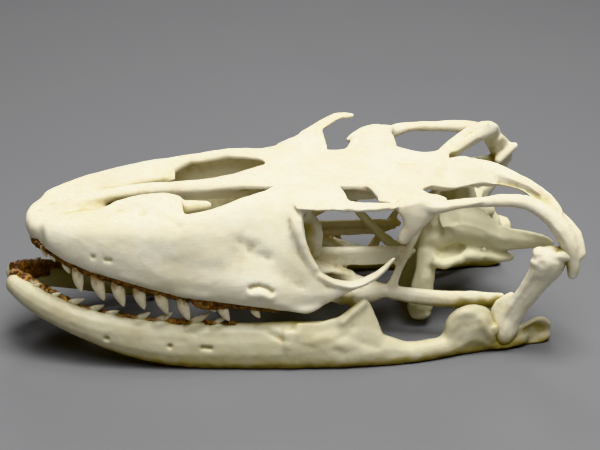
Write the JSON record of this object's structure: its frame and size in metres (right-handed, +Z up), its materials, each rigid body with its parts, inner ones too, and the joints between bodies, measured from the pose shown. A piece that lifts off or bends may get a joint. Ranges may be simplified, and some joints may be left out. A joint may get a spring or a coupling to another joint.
{
  "type": "komodo dragon skull",
  "caption": "Life-size skull and lower jaw of a komodo dragon, resting on the jaw with the mouth slightly open, with toothed jaws and open arches over the eyes and temples.",
  "frame": {"origin": "middle of the underside of the skull's box, on the surface that the lower jaw rests on", "axes": "+X the animal's left, -Y the snout and +Z up"},
  "size_m": [0.0984, 0.2166, 0.0728],
  "materials": {
    "roof_bone": "dry ivory bone, matt with a faint sheen",
    "inner_bone": "dry bone, yellower, matt",
    "jaw_bone": "dry bone, slightly greyer, matt",
    "tooth": "smooth tooth enamel",
    "dried_gum": "dried rust-brown gum at the tooth row"
  },
  "bodies": {
    "root": {"braincase": "inner_bone", "frontal": "roof_bone", "nasal": "roof_bone", "parietal": "roof_bone", "premaxilla": "roof_bone", "rostrum": "inner_bone", "vomer": "inner_bone", "articular_l": "jaw_bone", "articular_r": "jaw_bone", "braincase_foot_l": "inner_bone", "braincase_foot_r": "inner_bone", "coronoid_l": "jaw_bone", "coronoid_r": "jaw_bone", "dentary_l": "jaw_bone", "dentary_r": "jaw_bone", "ear_wing_l": "inner_bone", "ear_wing_r": "inner_bone", "ectopterygoid_l": "inner_bone", "ectopterygoid_r": "inner_bone", "epipterygoid_l": "inner_bone", "epipterygoid_r": "inner_bone", "jugal_l": "roof_bone", "jugal_r": "roof_bone", "lacrimal_l": "roof_bone", "lacrimal_r": "roof_bone", "maxilla_l": "roof_bone", "maxilla_r": "roof_bone", "palatine_l": "inner_bone", "palatine_r": "inner_bone", "palpebral_l": "roof_bone", "palpebral_r": "roof_bone", "parietal_arm_l": "roof_bone", "parietal_arm_r": "roof_bone", "postorbital_l": "roof_bone", "postorbital_r": "roof_bone", "prefrontal_l": "roof_bone", "prefrontal_r": "roof_bone", "pterygoid_l": "inner_bone", "pterygoid_r": "inner_bone", "quadrate_l": "roof_bone", "quadrate_r": "roof_bone", "septomaxilla_l": "roof_bone", "septomaxilla_r": "roof_bone", "squamosal_l": "roof_bone", "squamosal_r": "roof_bone", "surangular_l": "jaw_bone", "surangular_r": "jaw_bone"}
  },
  "joints": []
}
